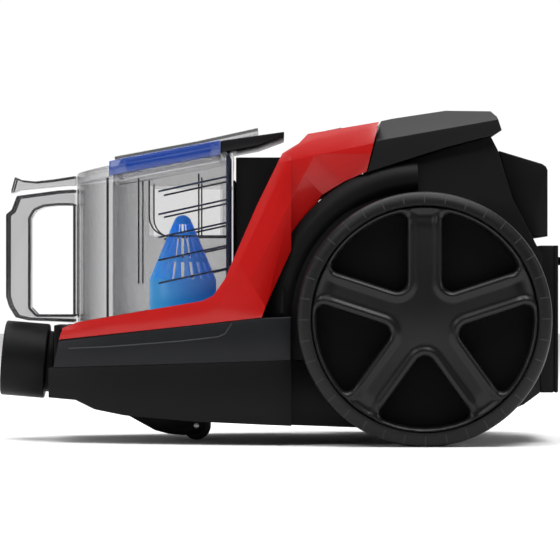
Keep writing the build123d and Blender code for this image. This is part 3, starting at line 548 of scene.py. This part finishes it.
def bead(name, place, radius, closed=True):
    """A round bead along a run of (x, y, z) places."""
    curve = bpy.data.curves.new(name, "CURVE")
    curve.dimensions = "3D"
    curve.bevel_depth = radius
    curve.bevel_resolution = 3
    curve.use_fill_caps = True
    spline = curve.splines.new("POLY")
    spline.points.add(len(place) - 1)
    for point, spot in zip(spline.points, place):
        point.co = (spot[0], spot[1], spot[2], 1)
    spline.use_cyclic_u = closed
    piece = bpy.data.objects.new(name, curve)
    scene.collection.objects.link(piece)
    only(piece)
    bpy.ops.object.convert(target="MESH")
    piece = bpy.context.object
    bpy.ops.object.mode_set(mode="EDIT")
    bpy.ops.mesh.select_all(action="SELECT")
    bpy.ops.mesh.normals_make_consistent(inside=False)
    bpy.ops.object.mode_set(mode="OBJECT")
    bpy.ops.object.shade_smooth_by_angle(angle=math.radians(50))
    return piece


grip_outer = [(-0.1515, 0.0878, 0), (-0.1857, 0.0890, 0.0010), (-0.1942, 0.0910, 0.004),
              (-0.1988, 0.0985, 0.003), (-0.2009, 0.1055, 0.003), (-0.2009, 0.1655, 0.001),
              (-0.1970, 0.1688, 0.001), (-0.1932, 0.1788, 0.002), (-0.1637, 0.1827, 0.002),
              (-0.1515, 0.1835, 0)]
grip_inner = [(-0.1515, 0.0915, 0.001), (-0.1795, 0.0915, 0.003), (-0.1847, 0.0970, 0.003),
              (-0.1847, 0.1632, 0.003), (-0.1813, 0.1695, 0.006), (-0.1740, 0.1725, 0.004),
              (-0.1637, 0.1735, 0.004), (-0.1515, 0.1735, 0.002)]
rib_places = {"grip_outer_rib": grip_outer, "grip_inner_rib": grip_inner}
rib_offset = 0.0128
guide_x = -0.1250
bucket_middle_x = -0.095
bucket_half_length = 0.0542
bucket_half_width = 0.0672
# Painted shade: these beads are near black to stand for the dark look of the clear plastic's edges.
painted_edge_shade = see_through("clear_edge_painted_shade", (0.012, 0.012, 0.014, 1), 0.80, 0.97)
grip_beads = []
for side in (-1, 1):
    for name, corners in rib_places.items():
        run = [(place.x, side * rib_offset, place.y) for place in rounded_outline(corners)]
        grip_beads.append(bead(name, run, 0.0010, name == "grip_inner_rib"))
    guide_share = (guide_x - bucket_middle_x) / bucket_half_length
    guide_y = side * bucket_half_width * math.sqrt(1 - guide_share ** 2)
    guide_run = [(guide_x, guide_y, 0.090), (guide_x, guide_y, 0.192)]
    grip_beads.append(bead("bin_guide_rib", guide_run, 0.0009, False))
grip_beads.append(bead("bin_nose_rib", [(-0.1492, 0, 0.090), (-0.1492, 0, 0.186)], 0.0008, False))
for piece in grip_beads:
    piece.data.materials.append(painted_edge_shade)
    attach(piece, "bin")

# ---- Cyclone wall inside the bin.
# A smoked half-cylinder with a window in each side, snapped into the bucket before the lid goes on.
# Fine beads mark the window's lip and post, and the seam in front of it; their near black is painted
# shade along these edges.
smoke = see_through("smoke", (0.10, 0.10, 0.105, 1), 0.15, 0.70, 0.12)
rounded_shell("cyclone_wall", smoke, 0.0006, 2)
wall_offset = 0.0520
seam_offset = 0.0415
window_line = [(-0.0950, 0.1900, 0), (-0.0950, 0.1497, 0.0140), (-0.0390, 0.1497, 0)]
for side in (-1, 1):
    frame_run = [(place.x, side * wall_offset, place.y) for place in rounded_outline(window_line)]
    post_run = [(-0.0590, side * wall_offset, 0.1500), (-0.0590, side * wall_offset, 0.1950)]
    seam_run = [(-0.1030, side * seam_offset, 0.1150), (-0.1030, side * seam_offset, 0.1920)]
    for name, run in (("window_lip", frame_run), ("window_post", post_run), ("wall_seam", seam_run)):
        line = bead(name, run, 0.0006, False)
        line.data.materials.append(painted_edge_shade)
        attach(line, "bin")

# ---- Blue cone and its outlet frame.
# The cone is a slotted polypropylene moulding whose colour runs from cyan to deep blue across it, and
# it glows with that colour as painted light; the frame of ribs behind it is darker blue and carries the
# air to the grille.
def cone_blue():
    finish = Finish("cone_blue", Specular_IOR_Level=0.4, Coat_Weight=0.3, Coat_Roughness=0.15)
    along = finish.along("X")
    height = finish.along("Z")
    stops = [(0.0, (0.02, 0.42, 0.90, 1)), (0.5, (0.006, 0.20, 0.66, 1)), (1.0, (0.002, 0.06, 0.36, 1))]
    sockets = {"Value": along + height * 0.35, "From Min": -0.064, "From Max": 0.0}
    share = finish.node("ShaderNodeMapRange", {}, sockets)
    tint = finish.node("ShaderNodeValToRGB", {"stops": stops}, {"Fac": share})
    finish.set("Base Color", tint)
    # Painted light: the cone glows with its own colour, though it is no lamp.
    finish.set("Emission Color", tint)
    finish.set("Emission Strength", 0.75)
    speck = finish.noise(900.0)
    finish.set("Roughness", speck * 0.1 + 0.28)
    finish.set("Normal", finish.bump(speck, 0.00004))
    return finish.material


rounded_shell("vortex_cone", cone_blue(), 0.0006, 2)
blue_dark = moulded("blue_dark", (0.010, 0.022, 0.060, 1), 0.32)
rounded_shell("outlet_frame", blue_dark, 0.0005, 2)

# ---- Bin lid, with front and middle plates, blue band and dark rear part, and the release button.
# The clear plates are welded to the blue tinted ring that seals on the bucket; the rear part is a
# plain black moulding. The button on the grip is smoky, with a lip along each side drawn near black as
# painted shade.
lid_clear = see_through("lid_clear", (0.030, 0.032, 0.040, 1), 0.22, 0.97)


def clear_plate():
    """Clear sheet: its flat faces are open and its sawn edges look dark."""
    finish = Finish("lid_plate", Coat_Weight=0.3, Coat_Roughness=0.03)
    normal = finish.node("ShaderNodeTexCoord", {}, {}, "Normal")
    upright = finish.node("ShaderNodeSeparateXYZ", {}, {"Vector": normal}, "Z")
    flat = finish.node("ShaderNodeMath", {"operation": "ABSOLUTE"}, {0: upright})
    cloud = finish.noise(9.0)
    finish.set("Base Color", finish.mix(cloud, (0.010, 0.011, 0.014, 1), (0.016, 0.017, 0.021, 1)))
    finish.set("Roughness", cloud * 0.05 + 0.06)
    finish.set("Alpha", flat ** 3.0 * -0.62 + 0.86)
    return finish.material


rounded_shell("lid_front", lid_clear, 0.0006, 2)
rounded_shell("lid_window", clear_plate(), 0.0006, 2)
rounded_shell("lid_ring", see_through("blue_clear", (0.002, 0.045, 0.30, 1), 0.72, 0.98, 0.10), 0.0006, 2)
lid_black = moulded("lid_black", (0.010, 0.010, 0.011, 1), 0.30)
rounded_shell("lid_rear", lid_black, 0.0006, 2)
rounded_shell("release_button", see_through("button_smoke", (0.05, 0.05, 0.055, 1), 0.30, 0.97), 0.0006, 2)
lip_offset = 0.0112
beak_line = [(-0.1977, 0.1828, 0), (-0.1951, 0.1926, 0.001), (-0.1903, 0.1908, 0.002),
             (-0.1804, 0.1898, 0.01), (-0.1675, 0.1911, 0.01), (-0.1516, 0.1936, 0)]
for side in (-1, 1):
    lip_run = [(place.x, side * lip_offset, place.y) for place in rounded_outline(beak_line)]
    line = bead("button_lip", lip_run, 0.0006, False)
    line.data.materials.append(painted_edge_shade)
    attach(line, "bin_release")

# ---- Red side trims.
# Glossy lacquered skins clipped over the arms. Creases split each arm into a bright band along its
# front edge, a broad side and a rear facet that turns in towards the wheel.
red = (0.37, 0.004, 0.003, 1)
red_lacquer = moulded("red_lacquer", red, 0.38, 0.00001, coat=0.22, coat_roughness=0.12, specular=0.2)
shoulder = (Vector((0.0071, 0.2028)), Vector((0.0300, 0.1790)))
elbow = (Vector((-0.0560, 0.1027)), Vector((-0.0100, 0.0935)))
arm_creases = [((-0.0372, 0.1134), (-0.0018, 0.1874), 0.55), ((0.0081, 0.1748), (-0.0281, 0.1035), 0.60)]
top_creases = [((0.0673, 0.2155), (0.0071, 0.2028), 0.30)]
arm_facet_reach = 0.012
top_facet_reach = 0.020
elbow_fade = 0.018
arm_facets_end_z = 0.19
top_facets_start_z = 0.2


def ahead_of(place, start, end):
    """Signed distance of a place to the left of the line from start to end, in the side view."""
    run = (Vector(end) - Vector(start)).normalized()
    offset = Vector((place.x, place.z)) - Vector(start)
    return run.x * offset.y - run.y * offset.x


def split_along(piece, start, end):
    """Cut new edges into a piece along a line of the side view."""
    only(piece)
    bpy.ops.object.mode_set(mode="EDIT")
    bpy.ops.mesh.select_all(action="SELECT")
    run = (Vector(end) - Vector(start)).normalized()
    bpy.ops.mesh.bisect(plane_co=(start[0], 0, start[1]), plane_no=(-run.y, 0, run.x))
    bpy.ops.object.mode_set(mode="OBJECT")


def red_trim(node):
    """The trim's skin, creased along its arm and its top, with each facet turned by its slope."""
    piece = cad_copy(node, "_skin")
    for start, end, slope in arm_creases:
        split_along(piece, start, end)
    split_along(piece, *elbow)
    for start, end, slope in top_creases:
        split_along(piece, start, end)
    split_along(piece, *shoulder)
    side = 1 if node.endswith("left") else -1
    for vertex in piece.data.vertices:
        rise = ahead_of(vertex.co, *elbow)
        if rise <= 0:
            continue
        for start, end, slope in arm_creases:
            depth = ahead_of(vertex.co, start, end)
            if depth > 0 and vertex.co.z < arm_facets_end_z:
                vertex.co.y += side * slope * min(depth, arm_facet_reach) * min(1.0, rise / elbow_fade)
        for start, end, slope in top_creases:
            height = -ahead_of(vertex.co, start, end)
            if height > 0 and vertex.co.z > top_facets_start_z:
                vertex.co.y += side * slope * min(height, top_facet_reach)
    apply_modifier(piece, "BEVEL", width=0.0014, segments=3, limit_method="ANGLE",
                   angle_limit=math.radians(14))
    bpy.ops.object.shade_smooth_by_angle(angle=math.radians(30))
    return finished(piece, node, red_lacquer)


red_trim("red_trim_left")
red_trim("red_trim_right")

# ---- Side skirts.
# Slate-grey grained mouldings between the tub and the trims. A fine lighter bead follows the step in
# each side, laid on the skirt's own surface; its lighter grey is a painted highlight along the step's edge.
slate_grain = moulded("slate_grain", (0.0085, 0.0092, 0.0105, 1), 0.40, specular=0.14)
rounded_shell("side_skirt_left", slate_grain)
rounded_shell("side_skirt_right", slate_grain)
step_line = [(-0.1615, 0.0679), (-0.1260, 0.0697), (-0.0985, 0.0718), (-0.0715, 0.0741), (-0.0442, 0.0772),
             (-0.0392, 0.0793), (-0.0342, 0.0868)]
# Painted highlight: the bead's lighter grey stands for light caught along the step's edge.
step_highlight_grey = moulded("step_highlight_grey", (0.045, 0.047, 0.050, 1), 0.35)
skirt = frame["nodes"]["side_skirt_left"].data
skirt_faces = [face.vertices for face in skirt.polygons]
skirt_surface = BVHTree.FromPolygons([vertex.co for vertex in skirt.vertices], skirt_faces)
outside_y = -0.3
bead_lift = 0.0001
for side in (-1, 1):
    run = []
    for (x0, z0), (x1, z1) in zip(step_line, step_line[1:]):
        for share in (0.0, 0.25, 0.5, 0.75, 1.0):
            place = (x0 + (x1 - x0) * share, outside_y, z0 + (z1 - z0) * share)
            spot, normal, face, depth = skirt_surface.ray_cast(place, (0, 1, 0))
            if spot:
                run.append((spot.x, -side * (spot.y + bead_lift), spot.z))
    line = bead("skirt_step_line", run, 0.00045, False)
    line.data.materials.append(step_highlight_grey)
    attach(line, "chassis")

# ---- Top cover, housing, control panel and hose collar.
# Satin ABS, the cover a shade lighter than the housing under it. A dished arch stands beside each
# wheel, and the two buttons and the slider match the cover.
cap_grain = moulded("cap_grain", (0.0080, 0.0080, 0.0086, 1), 0.42, specular=0.14)
rounded_shell("top_cover", cap_grain, 0.0016, 4, 25)


def wheel_arch(name):
    """The housing's dished arch beside a wheel, from the waist up and over to the rear."""
    profile = [(0.0925, 0.0985), (0.0945, 0.1010), (0.0985, 0.1022), (0.1040, 0.1015), (0.1090, 0.0990),
               (0.1120, 0.0955), (0.1100, 0.0935), (0.1040, 0.0960), (0.0985, 0.0970), (0.0940, 0.0950)]
    points = [(hub_point.x - radius, -depth, hub_point.z) for radius, depth in profile]
    piece = mesh_piece(name, points, [(i, (i + 1) % len(points)) for i in range(len(points))])
    bpy.ops.mesh.spin(steps=60, angle=math.radians(88), center=hub_point, axis=(0, -1, 0))
    bpy.ops.mesh.select_all(action="SELECT")
    bpy.ops.mesh.normals_make_consistent(inside=False)
    bpy.ops.object.mode_set(mode="OBJECT")
    bpy.ops.object.shade_smooth_by_angle(angle=math.radians(60))
    piece.data.materials.append(black_grain)
    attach(piece, "chassis")
    return piece


left_arch = wheel_arch("wheel_arch_left")
right_arch = other_hand(left_arch, "wheel_arch_right")
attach(right_arch, "chassis")
for node in ("upper_housing", "control_panel", "inlet_collar"):
    rounded_shell(node, black_grain, 0.0014, 3)
for node in ("power_button", "rewind_button", "suction_slider"):
    rounded_shell(node, cap_grain, 0.0008, 3)

# ---- Caster roller and the steel pins.
# A hard rubber roller on a turned pin; the pins, axles, clips and screws are bright zinc-plated steel.
def turned_metal(name, color, roughness):
    finish = Finish(name, Metallic=1.0)
    grain = finish.noise(600.0, 2.0)
    cloud = finish.noise(25.0)
    finish.set("Base Color", finish.mix(cloud, shade(color, 0.85), shade(color, 1.1)))
    finish.set("Roughness", grain * 0.12 + (roughness - 0.06))
    finish.set("Normal", finish.bump(grain, 0.00002))
    return finish.material


rounded_shell("caster_roller", tyre_rubber, 0.0006, 2)
steel = turned_metal("steel", (0.56, 0.57, 0.58, 1), 0.30)
for node in ("caster_pin", "roller_pin", "wheel_axles", "axle_clips", "motor_bearings", "motor_shaft",
             "spring_case", "deck_screws"):
    rounded_shell(node, steel, 0.0003, 2)

# ---- Motor.
# A pressed aluminium can holding a stack of steel laminations, a copper-wound armature with its carbon
# brushes and a nylon fan. Two rubber rings keep it off the tub.
def laminated():
    finish = Finish("laminations", Metallic=0.9, Roughness=0.45)
    along = finish.along("X")
    sheets = finish.node("ShaderNodeMath", {"operation": "PINGPONG"}, {0: along, 1: 0.00035}) * 2800.0
    finish.set("Base Color", finish.mix(sheets, (0.12, 0.12, 0.125, 1), (0.34, 0.34, 0.35, 1)))
    finish.set("Normal", finish.bump(sheets, 0.0001))
    return finish.material


def wound_copper():
    finish = Finish("copper", Metallic=1.0, Roughness=0.32)
    along = finish.along("X")
    turns = finish.node("ShaderNodeMath", {"operation": "PINGPONG"}, {0: along, 1: 0.0005}) * 2000.0
    finish.set("Base Color", finish.mix(turns, (0.36, 0.12, 0.05, 1), (0.80, 0.36, 0.18, 1)))
    finish.set("Normal", finish.bump(turns, 0.0002))
    return finish.material


rounded_shell("motor_casing", turned_metal("motor_metal", (0.42, 0.43, 0.44, 1), 0.38), 0.0006, 2)
rounded_shell("motor_stator", laminated(), 0.0003, 1)
rounded_shell("armature", wound_copper(), 0.0003, 1)
rounded_shell("carbon_brushes", moulded("carbon", (0.02, 0.02, 0.021, 1), 0.6, 0.0001), 0.0003, 2)
rounded_shell("motor_mounts", moulded("mount_rubber", (0.018, 0.018, 0.019, 1), 0.7), 0.0008, 3)
nylon = moulded("white_nylon", (0.72, 0.72, 0.69, 1), 0.42, 0.00003)
for node in ("fan_impeller", "reel_bridge", "cord_reel", "brake_lever"):
    rounded_shell(node, nylon, 0.0005, 2)

# ---- Seals, filters and circuit board.
# Soft seals are silicone; the foam and the pleated filter are held in their frames by their own spring.
soft = see_through("seal_silicone", (0.30, 0.30, 0.31, 1), 0.22, 0.60, 0.45)
rounded_shell("lid_seal", soft, 0.0005, 2)
seal_rubber = moulded("seal_rubber", (0.02, 0.02, 0.021, 1), 0.65)
rounded_shell("bin_seal", seal_rubber, 0.0004, 2)
rounded_shell("inlet_seal", seal_rubber, 0.0006, 3)


def porous(name, color, scale, depth):
    finish = Finish(name, Roughness=0.95)
    pores = finish.node("ShaderNodeTexVoronoi", {}, {"Vector": finish.place, "Scale": scale})
    # Painted shade: the pores are darker, for the shade inside them.
    finish.set("Base Color", finish.mix(pores, shade(color, 0.55), color))
    finish.set("Normal", finish.bump(pores, depth))
    return finish.material


rounded_shell("motor_filter", porous("foam", (0.05, 0.05, 0.055, 1), 700.0, 0.0006), 0.0005, 2)
rounded_shell("exhaust_filter", porous("filter_paper", (0.82, 0.81, 0.76, 1), 1800.0, 0.0001), 0.0003, 1)
rounded_shell("circuit_board", moulded("board_green", (0.01, 0.11, 0.035, 1), 0.4, 0.00004), 0.0002, 1)
